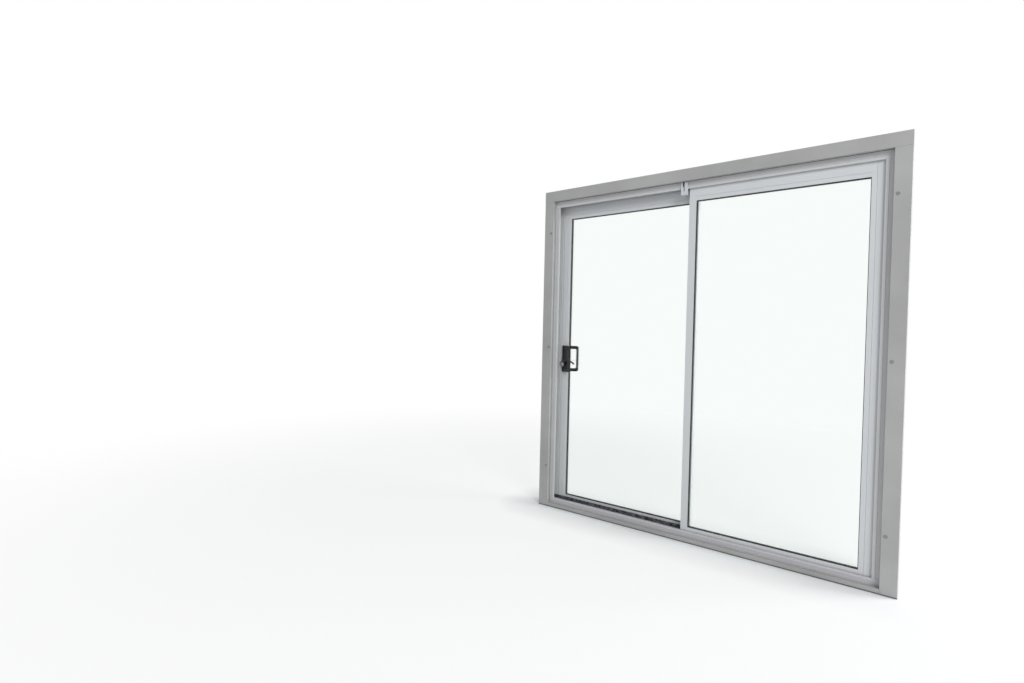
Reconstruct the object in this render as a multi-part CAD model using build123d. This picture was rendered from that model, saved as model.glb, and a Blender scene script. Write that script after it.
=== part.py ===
from build123d import *
import os

os.makedirs("parts", exist_ok=True)

# A two-panel sliding patio door in a painted timber sub-frame. X runs along the door, +Y points
# outdoors and +Z up. The origin is at the sill's foot, midway along it, under the middle fin. The
# right-hand panel is fixed on the indoor track, and the left-hand one slides behind it.

# Whole door
FRAME_W = 1890.0              # aluminium frame, outside width
FRAME_H = 2095.0              # foot of the sill to the underside of the timber head
TRACK_PITCH = 50.0            # between the two panels' centre planes

# Aluminium frame extrusions
SKIN_T = 2.5                  # web and stem thickness of head, sill and jambs
FIN_TIP_T = 7.0               # thickness of the square bead at the tip of each fin
FIN_TIP_L = 14.0
JAMB_FACE = 33.0              # sight width of a jamb
HEAD_FACE = 40.0              # sight height of the head
SILL_BASE_H = 24.0            # drained chamber under the tracks
SILL_INNER_H = 58.0           # indoor upstand
SILL_MIDDLE_H = 70.0
SILL_OUTER_H = 46.0
TRACK_W = 5.0                 # rail that the wheels run on
TRACK_H = 7.0
DRIP_OUT = 16.0               # nose that throws rain clear of the sill
DRIP_H = 9.0
DRAIN_COUNT = 6               # slots in the outer upstand, less one
DRAIN_PITCH = 290.0
DRAIN_L = 30.0
DRAIN_H = 5.0
DRAIN_UP = 2.0                # above the base
PILE_W = 4.8                  # brush seal let into each fin bead
FOOT_PILE_W = 22.0            # wide strip on the indoor side of the sill's middle upstand
FOOT_TIP_L = 24.0             # longer bead that holds it
PILE_DEEP = 1.6
PILE_PROUD = 0.5

# Timber sub-frame
TIMBER_PROUD = 29.0           # how far the timber stands indoors past the aluminium
TIMBER_FACE = 70.0
THRESHOLD_H = 25.0
TIMBER_EDGE_R = 2.0
QUIRK_W = 3.0                 # shadow groove in the timber beside the aluminium
QUIRK_DEEP = 7.0
THRESHOLD_UNDERCUT = 3.0      # bevel along the strip's foot

# Panels
PANEL_T = 32.0
PANEL_Z0 = 38.0               # underside of the panels
EDGE_LAP = 12.0               # panel edge behind the jamb's sight line
TOP_LAP = 14.0                # panel top behind the head's sight line
SIDE_STILE_W = 67.0
MEETING_STILE_W = 40.0
MEETING_NEAR = -24.0          # left edge of both meeting stiles, one behind the other
TOP_RAIL_H = 86.0
BOTTOM_RAIL_H = 40.0
PANEL_WALL = 2.0
POCKET_DEEP = 15.0            # glazing channel in the stiles and rails
POCKET_LEG = 3.0
BEAD_W = 23.0                 # joint line of the glazing bead, from the glass side
BEAD_GROOVE = 1.2

# Double glazing
PANE_T = 4.0
CAVITY_T = 12.0
GLASS_BITE = 12.0             # pane edge inside the glazing channel
SPACER_W = 9.0
GASKET_LIP = 3.0              # rubber that shows on the glass
LIP_EDGE_T = 1.0              # thickness of the lip where it ends on the glass

# Interlock hooks of the meeting stiles
HOOK_T = 1.5
HOOK_FOOT = 7.0               # foot that is riveted to the stile
HOOK_CLEAR = 5.0              # from hook to hook, and from hook to panel
HOOK_STEM_X = 12.0            # outer face of each stem from the stiles' middle
HOOK_LAP = 4.0                # each hook's reach past the middle
HOOK_END = 8.0                # from the middle fins to the ends of the hooks

# Rollers of the sliding panel
WHEEL_R = 12.0
WHEEL_W = 9.0
WHEEL_APEX_R = 9.0            # bottom of the vee groove
WHEEL_GAP = 0.3               # wheel to rail
WHEEL_SPACING = 36.0          # between the two wheels of a carriage
AXLE_R = 2.5
AXLE_FIT = 0.05
CARRIAGE_L = 84.0
CARRIAGE_W = 24.0
CARRIAGE_SLOT_W = 11.0        # opening that holds the wheels
CARRIAGE_TOP_T = 2.0
CARRIAGE_DROP = 1.0           # below the underside of the panel
CARRIAGE_INSET = 90.0         # from the end of the bottom rail to the carriage's middle

# Handles, latch and lock
HANDLE_Z = 1021.0             # middle of the handle above the sill's foot
PLATE_W = 44.0
PLATE_H = 182.0
PLATE_T = 6.0
PLATE_R = 5.0
PLATE_IN = 19.0               # plate's outer edge from the stile's outer edge
PLATE_BEVEL = 1.0
PULL_H = 178.0
PULL_BAR = 22.0               # height of the two arms
PULL_OUTER_R = 14.0           # corners of the D
PULL_INNER_R = 8.0
PULL_ROOT = 12.0              # bar behind the plate's face, before it is trimmed
GRIP_W = 16.0
GRIP_T = 11.0
GRIP_EDGE_R = 3.5
GRIP_ASIDE = 56.0             # plate's middle to the grip's middle, along the door
GRIP_STAND = 40.0             # stile's face to the grip's middle
LEVER_DOWN = 18.0             # lever pivot below the handle's middle
LEVER_ARM = 83.0
LEVER_T = 6.5
LEVER_W = 9.0
LEVER_RISE = 2.0              # height of the curve over the pivot
LEVER_CREST = 6.0             # and at its highest
LEVER_CREST_OUT = 34.0        # from the pivot to the crest
LEVER_DROOP = 16.0            # fall of the arm's tip
FAN_TIP_OUT = 25.0            # left corner of the fan-shaped thumb pad, from the pivot
FAN_TIP_DOWN = 12.0
FAN_TOE_OUT = 1.0             # lower corner
FAN_TOE_DOWN = 32.0
LEVER_STAND = 11.5            # plate face to the back of the lever
HUB_R = 10.0
SPINDLE_R = 4.0
SPINDLE_FIT = 0.3
SPINDLE_IN = 4.0              # end of the spindle inside the stile
SPINDLE_HOLE_R = 5.0
LOCK_H = 150.0
LOCK_W = 18.0
LOCK_DEEP = 38.0
LOCK_MOUTH_H = 60.0           # slot that the hook turns out through
LOCK_MOUTH_W = 6.0
LOCK_MOUTH_DEEP = 12.5
FACEPLATE_T = 2.0
FACEPLATE_W = 22.0
FACEPLATE_H = 174.0
KEEPER_T = 3.0

# Blocks and packers
PACKER_L = 60.0
PACKER_W = 24.0
RAIL_SLOT_FIT = 1.0           # packer's slot over the wheel rail
ANTI_LIFT_H = 12.0
BLOCK_W = 38.0                # moulded end block over the interlock
BLOCK_H = 73.0
BLOCK_T = 10.0
BLOCK_SLOT_X = 9.0            # slot from the block's left edge
BLOCK_SLOT_W = 11.0
BLOCK_SLOT_H = 28.0
BLOCK_KEY_W = 5.0             # narrower lower part of the slot
BLOCK_KEY_H = 54.0
BLOCK_SLOT_DEEP = 8.0
LUG_INSET = 4.0
BLOCK_FROM_STILE = 6.0
BLOCK_DOWN = 2.0              # below the timber head
BLOCK_LUG_Y = -17.0           # rear end of the lug, over the fixed panel's track

# Worked-out planes and lines
HALF_W = FRAME_W / 2
TRACK_Y = TRACK_PITCH / 2
FIN_YS = [-TRACK_PITCH, 0.0, TRACK_PITCH]
FACE_Y = TRACK_PITCH + FIN_TIP_T / 2          # indoor and outdoor faces of the aluminium
REACH = HALF_W - SKIN_T                       # ends of head and sill, at the jambs' webs
SIGHT_X = HALF_W - JAMB_FACE
PANEL_EDGE_X = SIGHT_X + EDGE_LAP
MEETING_FAR = MEETING_NEAR + MEETING_STILE_W
MEETING_MID = (MEETING_NEAR + MEETING_FAR) / 2
HEAD_SIGHT_Z = FRAME_H - HEAD_FACE
PANEL_Z1 = HEAD_SIGHT_Z + TOP_LAP
PANEL_H = PANEL_Z1 - PANEL_Z0
UNIT_T = 2 * PANE_T + CAVITY_T
POCKET_T = PANEL_T - 2 * POCKET_LEG
PANE_OVER = POCKET_DEEP - GLASS_BITE          # gasket thickness under the pane's edge


def rect(u0, u1, v0, v1):
    """A flat rectangle between two pairs of limits."""
    return Pos((u0 + u1) / 2, (v0 + v1) / 2) * Rectangle(abs(u1 - u0), abs(v1 - v0))


def block(x0, x1, y0, y1, z0, z1):
    """A straight block between its limits."""
    size = Box(abs(x1 - x0), abs(y1 - y0), abs(z1 - z0))
    return Pos((x0 + x1) / 2, (y0 + y1) / 2, (z0 + z1) / 2) * size


def along_x(profile, x0, x1):
    """Extrudes a profile drawn in (Y, Z) from x0 to x1."""
    return Pos(x0, 0, 0) * extrude(Plane.YZ * profile, x1 - x0)


def along_z(profile, z0, z1):
    """Extrudes a profile drawn in (X, Y) from z0 to z1."""
    return Pos(0, 0, z0) * extrude(profile, z1 - z0)


def cylinder_y(x, z, radius, y0, y1):
    """A round bar along Y."""
    bar = Cylinder(radius, abs(y1 - y0))
    return Pos(x, (y0 + y1) / 2, z) * Rot(90, 0, 0) * bar


def save(name, shape):
    """Writes one node; several solids that do not touch stay one compound."""
    solids = shape.solids()
    body = solids[0] if len(solids) == 1 else Compound(children=list(solids))
    export_step(body, f"parts/{name}.step")


# Fins of the frame: a thin stem with a square bead at its tip and a brush groove in each
# side of the bead that faces a panel. Drawn with the fin standing up from v = 0.

def grooves(index, foot):
    """Side and width of each groove, on the sides of a fin that face a panel."""
    sides = {0: [1], 1: [-1, 1], 2: [-1]}[index]
    wide = foot and index == 1
    return [(side, FOOT_PILE_W if wide and side < 0 else PILE_W) for side in sides]


def bead_length(index, foot):
    """Length of a fin's bead, longer on the sill's middle upstand."""
    return FOOT_TIP_L if foot and index == 1 else FIN_TIP_L


def fin_profile(index, root, height, foot=False):
    """One fin from its root to the tip bead at v = height, centred on u = 0."""
    bead = bead_length(index, foot)
    fin = rect(-SKIN_T / 2, SKIN_T / 2, root, height)
    fin += rect(-FIN_TIP_T / 2, FIN_TIP_T / 2, height - bead, height)
    middle = height - bead / 2
    for side, width in grooves(index, foot):
        outer = side * FIN_TIP_T / 2
        inner = side * (FIN_TIP_T / 2 - PILE_DEEP)
        fin -= rect(inner, outer, middle - width / 2, middle + width / 2)
    return fin


def pile_profiles(index, height, foot=False):
    """The brush strips in one fin's grooves."""
    middle = height - bead_length(index, foot) / 2
    strips = []
    for side, width in grooves(index, foot):
        inner = side * (FIN_TIP_T / 2 - PILE_DEEP)
        outer = side * (FIN_TIP_T / 2 + PILE_PROUD)
        strips.append(rect(inner, outer, middle - width / 2, middle + width / 2))
    return strips


# Timber sub-frame

def timber_jamb(side):
    """Full-height post beside the aluminium, its indoor edges rounded."""
    x0 = side * HALF_W
    x1 = side * (HALF_W + TIMBER_FACE)
    post = block(x0, x1, -FACE_Y - TIMBER_PROUD, FACE_Y, 0, FRAME_H)
    edges = post.edges().filter_by(Axis.Z).group_by(Axis.Y)[0]
    quirk_x = side * (HALF_W + QUIRK_DEEP)
    quirk = block(x0, quirk_x, -FACE_Y - QUIRK_W, -FACE_Y, THRESHOLD_H, FRAME_H)
    return fillet(edges, TIMBER_EDGE_R) - quirk


def timber_head():
    """Head member over both posts."""
    reach = HALF_W + TIMBER_FACE
    head = block(-reach, reach, -FACE_Y - TIMBER_PROUD, FACE_Y, FRAME_H, FRAME_H + TIMBER_FACE)
    edges = head.edges().filter_by(Axis.X).group_by(Axis.Y)[0]
    quirk = block(-HALF_W, HALF_W, -FACE_Y - QUIRK_W, -FACE_Y, FRAME_H, FRAME_H + QUIRK_DEEP)
    return fillet(edges, TIMBER_EDGE_R) - quirk


def threshold_strip():
    """Timber strip in front of the sill, with a rounded nose and a bevelled foot."""
    strip = block(-HALF_W, HALF_W, -FACE_Y - TIMBER_PROUD, -FACE_Y, 0, THRESHOLD_H)
    foot = strip.edges().filter_by(Axis.X).group_by(Axis.Z)[0].sort_by(Axis.Y)[0]
    strip = chamfer(foot, THRESHOLD_UNDERCUT)
    nose = strip.edges().filter_by(Axis.X).group_by(Axis.Z)[-1].sort_by(Axis.Y)[0]
    quirk_z = THRESHOLD_H - QUIRK_DEEP
    quirk = block(-HALF_W, HALF_W, -FACE_Y - QUIRK_W, -FACE_Y, quirk_z, THRESHOLD_H)
    return fillet(nose, 2 * TIMBER_EDGE_R) - quirk


# Aluminium frame

def frame_head():
    """Top web of the head, between the jambs."""
    return along_x(rect(-FACE_Y, FACE_Y, FRAME_H - SKIN_T, FRAME_H), -REACH, REACH)


def head_fins():
    """The three fins that hang from the head's web."""
    fins = []
    for index, y in enumerate(FIN_YS):
        profile = fin_profile(2 - index, SKIN_T, HEAD_FACE)
        fins.append(along_x(Pos(y, FRAME_H) * Rot(0, 0, 180) * profile, -REACH, REACH))
    return Compound(children=fins)


SILL_FIN_HS = [SILL_INNER_H, SILL_MIDDLE_H, SILL_OUTER_H]


def sill_profile():
    """Drained base chamber, two wheel rails and the drip nose."""
    profile = rect(-FACE_Y, FACE_Y, 0, SILL_BASE_H)
    cell = (2 * FACE_Y - 5 * SKIN_T) / 4
    for index in range(4):
        u0 = -FACE_Y + SKIN_T + index * (cell + SKIN_T)
        profile -= rect(u0, u0 + cell, SKIN_T, SILL_BASE_H - SKIN_T)
    for y in (-TRACK_Y, TRACK_Y):
        rail_top = SILL_BASE_H + TRACK_H
        profile += rect(y - TRACK_W / 2, y + TRACK_W / 2, SILL_BASE_H, rail_top - TRACK_W / 2)
        profile += Pos(y, rail_top - TRACK_W / 2) * Circle(TRACK_W / 2)
    tip = FACE_Y + DRIP_OUT
    nose = Polygon(
        (FACE_Y, SILL_BASE_H - 2 * SKIN_T), (tip - SKIN_T, DRIP_H - SKIN_T), (tip - SKIN_T, 0),
        (tip, 0), (tip, DRIP_H), (FACE_Y, SILL_BASE_H), align=None)
    return profile + nose


def frame_sill():
    """Sill extrusion between the jambs."""
    return along_x(sill_profile(), -REACH, REACH)


def sill_upstands():
    """The sill's three upstands; drain slots run through the foot of the outer one."""
    fins = []
    for index, y in enumerate(FIN_YS):
        profile = fin_profile(index, SILL_BASE_H, SILL_FIN_HS[index], foot=True)
        fins.append(along_x(Pos(y, 0) * profile, -REACH, REACH))
    for place in range(-DRAIN_COUNT // 2, DRAIN_COUNT // 2 + 1):
        x = place * DRAIN_PITCH
        fins[2] -= block(
            x - DRAIN_L / 2, x + DRAIN_L / 2, TRACK_PITCH - FIN_TIP_T, TRACK_PITCH + FIN_TIP_T,
            SILL_BASE_H + DRAIN_UP, SILL_BASE_H + DRAIN_UP + DRAIN_H)
    return Compound(children=fins)


def jamb(side):
    """Full-height web of a jamb."""
    inside = HALF_W - SKIN_T
    return block(side * inside, side * HALF_W, -FACE_Y, FACE_Y, 0, FRAME_H)


def lock_jamb():
    """Left jamb's web with the slot that the lock's hook enters."""
    return jamb(-1) - lock_slot(-HALF_W, -HALF_W + SKIN_T)


def jamb_fins(side):
    """A jamb's three fins, standing on the sill's upstands and ending under the head's fins."""
    fins = []
    for index, y in enumerate(FIN_YS):
        profile = Pos(HALF_W, y) * Rot(0, 0, 90) * fin_profile(index, SKIN_T, JAMB_FACE)
        fins.append(along_z(profile, SILL_FIN_HS[index], HEAD_SIGHT_Z))
    if side < 0:
        fins = [mirror(fin, about=Plane.YZ) for fin in fins]
    return Compound(children=fins)


def sill_piles():
    """Brush strips in the three upstands."""
    strips = []
    for index, y in enumerate(FIN_YS):
        for strip in pile_profiles(index, SILL_FIN_HS[index], foot=True):
            strips.append(along_x(Pos(y, 0) * strip, -REACH, REACH))
    return Compound(children=strips)


def head_piles():
    """Brush strips in the head's fins; those beside the indoor track stop at the fixed panel."""
    strips = []
    for index, y in enumerate(FIN_YS):
        for strip in pile_profiles(2 - index, HEAD_FACE):
            shape = Pos(y, FRAME_H) * Rot(0, 0, 180) * strip
            start = -REACH if shape.center().X > 0 else MEETING_NEAR
            strips.append(along_x(shape, start, REACH))
    return Compound(children=strips)


def jamb_piles(side):
    """Brush strips in one jamb's fins; the left jamb holds none beside its empty track."""
    strips = []
    for index, y in enumerate(FIN_YS):
        for strip in pile_profiles(index, JAMB_FACE):
            shape = Pos(HALF_W, y) * Rot(0, 0, 90) * strip
            if side > 0 or shape.center().Y > 0:
                strips.append(along_z(shape, SILL_FIN_HS[index], HEAD_SIGHT_Z))
    if side < 0:
        strips = [mirror(strip, about=Plane.YZ) for strip in strips]
    return Compound(children=strips)


# Panel members, drawn with the outer edge at u = 0 and the glass side at u = width

def member_profile(width):
    """Hollow box with a glazing channel open at the glass side and a bead groove."""
    half = PANEL_T / 2
    profile = rect(0, width, -half, half)
    floor = width - POCKET_DEEP
    profile -= rect(floor, width, -POCKET_T / 2, POCKET_T / 2)
    profile -= rect(PANEL_WALL, floor - PANEL_WALL, PANEL_WALL - half, half - PANEL_WALL)
    if width > 2 * BEAD_W:
        line = width - BEAD_W
        profile -= rect(line, line + BEAD_GROOVE, -half, -half + BEAD_GROOVE)
    return profile


def side_stile(side, y):
    """Stile at the jamb, full height of the panel; side is -1 left, 1 right."""
    profile = Pos(-PANEL_EDGE_X, y) * member_profile(SIDE_STILE_W)
    if side > 0:
        profile = mirror(profile, about=Plane.YZ)
    return along_z(profile, PANEL_Z0, PANEL_Z1)


def interlock_profile():
    """Interlock on the fixed stile: foot on the stile, stem outdoors, leg towards the jamb."""
    back = -(TRACK_Y - PANEL_T / 2)
    leg_y0 = HOOK_CLEAR / 2
    leg_y1 = leg_y0 + HOOK_T
    stem_x = MEETING_MID - HOOK_STEM_X
    foot = rect(stem_x - HOOK_FOOT, stem_x + HOOK_T, back, back + HOOK_T)
    stem = rect(stem_x, stem_x + HOOK_T, back, leg_y1)
    return foot + stem + rect(stem_x, MEETING_MID + HOOK_LAP, leg_y0, leg_y1)


def fixed_interlock():
    """Interlock of the fixed panel, ending clear of the middle fins."""
    return along_z(interlock_profile(), SILL_MIDDLE_H + HOOK_END, HEAD_SIGHT_Z - HOOK_END)


def half_turn(piece):
    """A piece of the fixed panel turned half round about the meeting stiles' middle."""
    return Pos(2 * MEETING_MID, 0, 0) * Rot(0, 0, 180) * piece


def sliding_interlock():
    """The same extrusion on the sliding panel."""
    return half_turn(fixed_interlock())


def fixed_meeting_stile():
    """Slim stile of the fixed panel in the middle of the door."""
    profile = Pos(MEETING_NEAR, -TRACK_Y) * member_profile(MEETING_STILE_W)
    return along_z(profile, PANEL_Z0, PANEL_Z1)


def sliding_meeting_stile():
    """The same extrusion on the sliding panel."""
    return half_turn(fixed_meeting_stile())


def rail_span(side):
    """X limits between a panel's two stiles."""
    far = PANEL_EDGE_X - SIDE_STILE_W
    return (MEETING_FAR, far) if side > 0 else (-far, MEETING_NEAR)


def top_rail(side, y):
    """Deep top rail; its glazing channel opens downwards."""
    profile = Rot(0, 0, -90) * member_profile(TOP_RAIL_H)
    x0, x1 = rail_span(side)
    return along_x(Pos(y, PANEL_Z1) * profile, x0, x1)


def bottom_rail(side, y):
    """Bottom rail: glazing channel above, open channel for rollers or blocks below."""
    half = PANEL_T / 2
    z1 = PANEL_Z0 + BOTTOM_RAIL_H
    floor = z1 - POCKET_DEEP
    profile = rect(y - half, y + half, PANEL_Z0, z1)
    profile -= rect(y - POCKET_T / 2, y + POCKET_T / 2, floor, z1)
    inner = half - PANEL_WALL
    profile -= rect(y - inner, y + inner, PANEL_Z0, floor - PANEL_WALL)
    x0, x1 = rail_span(side)
    return along_x(profile, x0, x1)


# Sealed glass unit: its edges reach GLASS_BITE into the channels

def unit_limits(side, grow=0.0):
    """X and Z limits of the glass unit, grown on every side."""
    x0, x1 = rail_span(side)
    bite = GLASS_BITE + grow
    z0 = PANEL_Z0 + BOTTOM_RAIL_H
    z1 = PANEL_Z1 - TOP_RAIL_H
    return x0 - bite, x1 + bite, z0 - bite, z1 + bite


def pane(side, y, face):
    """One sheet of glass; face is -1 for indoors, 1 for outdoors."""
    x0, x1, z0, z1 = unit_limits(side)
    near = y + face * CAVITY_T / 2
    far = near + face * PANE_T
    return block(x0, x1, near, far, z0, z1)


def spacer(side, y):
    """Bar round the edge between the two sheets."""
    x0, x1, z0, z1 = unit_limits(side)
    half = CAVITY_T / 2
    outer = block(x0, x1, y - half, y + half, z0, z1)
    inner = block(x0 + SPACER_W, x1 - SPACER_W, y - half, y + half, z0 + SPACER_W, z1 - SPACER_W)
    return outer - inner


def gasket(side, y):
    """Wrap-round rubber between the unit and the channel, with a sloped lip on each face."""
    half = POCKET_T / 2
    x0, x1, z0, z1 = unit_limits(side, PANE_OVER)
    ring = block(x0, x1, y - half, y + half, z0, z1)
    x2, x3, z2, z3 = unit_limits(side, -GLASS_BITE - GASKET_LIP)
    ring -= block(x2, x3, y - half, y + half, z2, z3)
    near = 0.01
    rims = ring.edges().filter_by(lambda e: abs(abs(e.center().Y - y) - half) < near)
    rims = rims.filter_by(lambda e: x2 - near < e.center().X < x3 + near)
    rims = rims.filter_by(lambda e: z2 - near < e.center().Z < z3 + near)
    ring = chamfer(rims, (POCKET_T - UNIT_T) / 2 - LIP_EDGE_T)
    x4, x5, z4, z5 = unit_limits(side)
    return ring - block(x4, x5, y - UNIT_T / 2, y + UNIT_T / 2, z4, z5)


# Packers, blocks and rollers

def channel_block(x, y, z0, z1, with_slot):
    """Nylon block on a track's centre line, slotted over the wheel rail if asked."""
    body = block(x - PACKER_L / 2, x + PACKER_L / 2, y - PACKER_W / 2, y + PACKER_W / 2, z0, z1)
    if with_slot:
        reach = TRACK_W / 2 + RAIL_SLOT_FIT
        slot_top = z0 + TRACK_H + RAIL_SLOT_FIT
        body -= block(x - PACKER_L / 2, x + PACKER_L / 2, y - reach, y + reach, z0, slot_top)
    return body


CHANNEL_TOP_Z = PANEL_Z0 + BOTTOM_RAIL_H - POCKET_DEEP - PANEL_WALL


def support_xs(side):
    """Places near both ends of a panel where it is carried or packed."""
    x0, x1 = rail_span(side)
    return (x0 + CARRIAGE_INSET, x1 - CARRIAGE_INSET)


def fixed_panel_blocks():
    """Two blocks that carry the fixed panel on the sill."""
    blocks = [channel_block(x, -TRACK_Y, SILL_BASE_H, CHANNEL_TOP_Z, True) for x in support_xs(1)]
    return Compound(children=blocks)


def fixed_panel_packers():
    """Packers over the fixed panel and beside its outer stile."""
    pieces = []
    for x in support_xs(1):
        pieces.append(channel_block(x, -TRACK_Y, PANEL_Z1, FRAME_H - SKIN_T, False))
    for z in (PANEL_Z0 + PANEL_H / 5, PANEL_Z1 - PANEL_H / 5):
        pieces.append(block(
            PANEL_EDGE_X, HALF_W - SKIN_T, -TRACK_Y - PACKER_W / 2, -TRACK_Y + PACKER_W / 2,
            z - PACKER_L / 2, z + PACKER_L / 2))
    return Compound(children=pieces)


RAIL_TOP_Z = SILL_BASE_H + TRACK_H
# Both flanks of the square vee stay WHEEL_GAP off the round top of the rail.
WHEEL_Z = RAIL_TOP_Z - TRACK_W / 2 + WHEEL_APEX_R + 2**0.5 * (TRACK_W / 2 + WHEEL_GAP)


def wheel(x):
    """Nylon wheel with a vee groove that rides the round top of the outdoor rail."""
    half = WHEEL_W / 2
    groove = WHEEL_R - WHEEL_APEX_R
    bore = AXLE_R + AXLE_FIT
    section = Polygon(
        (bore, -half), (WHEEL_R, -half), (WHEEL_R, -groove), (WHEEL_APEX_R, 0),
        (WHEEL_R, groove), (WHEEL_R, half), (bore, half), align=None)
    return Pos(x, TRACK_Y, WHEEL_Z) * revolve(section, Axis.Y)


def wheel_xs(centre):
    """The two wheels of the carriage at x = centre."""
    return (centre - WHEEL_SPACING / 2, centre + WHEEL_SPACING / 2)


def roller_wheels():
    """All four wheels."""
    return Compound(children=[wheel(x) for centre in support_xs(-1) for x in wheel_xs(centre)])


def roller_carriage(centre):
    """Pressed steel housing, open below, with its two axles."""
    half = CARRIAGE_W / 2
    slot = CARRIAGE_SLOT_W / 2
    x0, x1 = centre - CARRIAGE_L / 2, centre + CARRIAGE_L / 2
    low = PANEL_Z0 - CARRIAGE_DROP
    housing = block(x0, x1, TRACK_Y - half, TRACK_Y + half, low, CHANNEL_TOP_Z)
    housing -= block(x0, x1, TRACK_Y - slot, TRACK_Y + slot, low, CHANNEL_TOP_Z - CARRIAGE_TOP_T)
    for x in wheel_xs(centre):
        housing += cylinder_y(x, WHEEL_Z, AXLE_R, TRACK_Y - half, TRACK_Y + half)
    return housing


def roller_carriages():
    """Both carriages, screwed up into the bottom rail's channel."""
    return Compound(children=[roller_carriage(centre) for centre in support_xs(-1)])


def anti_lift_blocks():
    """Blocks on top of the sliding panel that stop it being lifted out."""
    top = PANEL_Z1 + ANTI_LIFT_H
    blocks = [channel_block(x, TRACK_Y, PANEL_Z1, top, False) for x in support_xs(-1)]
    return Compound(children=blocks)


def head_end_block():
    """Moulded cover over the interlock at the head, with a keyhole slot and a rear lug."""
    x1 = MEETING_NEAR - BLOCK_FROM_STILE
    x0 = x1 - BLOCK_W
    z1 = FRAME_H - BLOCK_DOWN
    z0 = z1 - BLOCK_H
    front = -FACE_Y - BLOCK_T
    back = front + BLOCK_SLOT_DEEP
    slot_x0 = x0 + BLOCK_SLOT_X
    slot_x1 = slot_x0 + BLOCK_SLOT_W
    plate = block(x0, x1, front, -FACE_Y, z0, z1)
    plate -= block(slot_x0, slot_x1, front, back, z1 - BLOCK_SLOT_H, z1)
    plate -= block(slot_x1 - BLOCK_KEY_W, slot_x1, front, back, z1 - BLOCK_KEY_H, z1)
    lug_top = HEAD_SIGHT_Z - LUG_INSET
    return plate + block(x0 + LUG_INSET, x1 - LUG_INSET, -FACE_Y, BLOCK_LUG_Y, z0, lug_top)


# Handle, lever and lock

PLATE_X0 = -PANEL_EDGE_X + PLATE_IN
PLATE_X1 = PLATE_X0 + PLATE_W
STILE_IN_Y = TRACK_Y - PANEL_T / 2
PLATE_Y = STILE_IN_Y - PLATE_T
LEVER_X = (PLATE_X0 + PLATE_X1) / 2
LEVER_Z = HANDLE_Z - LEVER_DOWN


def handle_plate():
    """Back plate with rounded corners on the stile's indoor face."""
    outline = Pos(LEVER_X, HANDLE_Z) * RectangleRounded(PLATE_W, PLATE_H, PLATE_R)
    plate = Pos(0, STILE_IN_Y, 0) * extrude(Plane.XZ * outline, PLATE_T)
    return chamfer(plate.faces().sort_by(Axis.Y)[0].edges(), PLATE_BEVEL)


def cranked_pull():
    """A D of flat bar that leans from the plate over the glass, with an upright grip."""
    lean = Vector(GRIP_ASIDE, PLATE_T - GRIP_STAND, 0)
    reach = lean.length + GRIP_W / 2
    outline = rect(-PULL_ROOT, reach, -PULL_H / 2, PULL_H / 2)
    outline = fillet(outline.vertices().group_by(Axis.X)[-1], PULL_OUTER_R)
    hole = rect(-PULL_ROOT, reach - GRIP_W, PULL_BAR - PULL_H / 2, PULL_H / 2 - PULL_BAR)
    outline -= fillet(hole.vertices().group_by(Axis.X)[-1], PULL_INNER_R)
    across = Vector(0, 0, 1).cross(lean)
    plane = Plane(origin=(LEVER_X, PLATE_Y, HANDLE_Z), x_dir=lean, z_dir=across)
    bar = extrude(plane * outline, GRIP_T / 2, both=True)
    sides = bar.faces().filter_by(lambda f: abs(f.normal_at().dot(plane.z_dir)) > 0.99)
    rims = sides[0].edges() + sides[1].edges()
    rims = rims.filter_by(lambda e: plane.to_local_coords(e.center()).X > 1.0 - PULL_ROOT)
    bar = fillet(rims, GRIP_EDGE_R)
    indoor_y = -2.0 * GRIP_STAND
    bar &= block(
        PLATE_X0, 0, indoor_y, PLATE_Y + PLATE_T / 2,
        HANDLE_Z - PLATE_H, HANDLE_Z + PLATE_H)
    return handle_plate() + bar


def inside_handle():
    """Pull on the indoor face, bored for the lever's spindle."""
    bore = cylinder_y(LEVER_X, LEVER_Z, SPINDLE_R + SPINDLE_FIT, PLATE_Y, STILE_IN_Y)
    return cranked_pull() - bore


def outside_handle():
    """The matching pull on the outdoor face."""
    return mirror(cranked_pull(), about=Plane.XZ.offset(-TRACK_Y))


def latch_lever():
    """Arched lever with a fan-shaped thumb pad, its hub and a spindle through plate and stile."""
    y1 = PLATE_Y - LEVER_STAND
    y0 = y1 - LEVER_T
    tip = (LEVER_X - FAN_TIP_OUT, LEVER_Z - FAN_TIP_DOWN)
    toe = (LEVER_X - FAN_TOE_OUT, LEVER_Z - FAN_TOE_DOWN)
    arch = Spline(
        tip, (LEVER_X, LEVER_Z + LEVER_RISE), (LEVER_X + LEVER_CREST_OUT, LEVER_Z + LEVER_CREST),
        (LEVER_X + LEVER_ARM, LEVER_Z - LEVER_DROOP))
    band = trace(arch, LEVER_W)
    rounds = [Pos(*corner) * Circle(LEVER_W / 2) for corner in (tip, toe)]
    rounds.append(Pos(LEVER_X, LEVER_Z) * Circle(HUB_R))
    band += make_hull([circle.edge() for circle in rounds])
    arms = Pos(0, y1, 0) * extrude(Plane.XZ * band, LEVER_T)
    hub_y = PLATE_Y - SPINDLE_FIT
    hub = cylinder_y(LEVER_X, LEVER_Z, HUB_R, y0, hub_y)
    return arms + hub + cylinder_y(LEVER_X, LEVER_Z, SPINDLE_R, hub_y, STILE_IN_Y + SPINDLE_IN)


def lock_box(x0, x1, width, height):
    """A block on the lock's centre line."""
    y0, y1 = TRACK_Y - width / 2, TRACK_Y + width / 2
    return block(x0, x1, y0, y1, LEVER_Z - height / 2, LEVER_Z + height / 2)


def lock_slot(x0, x1):
    """The slot that the lock's hook passes through, from x0 to x1."""
    return lock_box(x0, x1, LOCK_MOUTH_W, LOCK_MOUTH_H)


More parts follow.
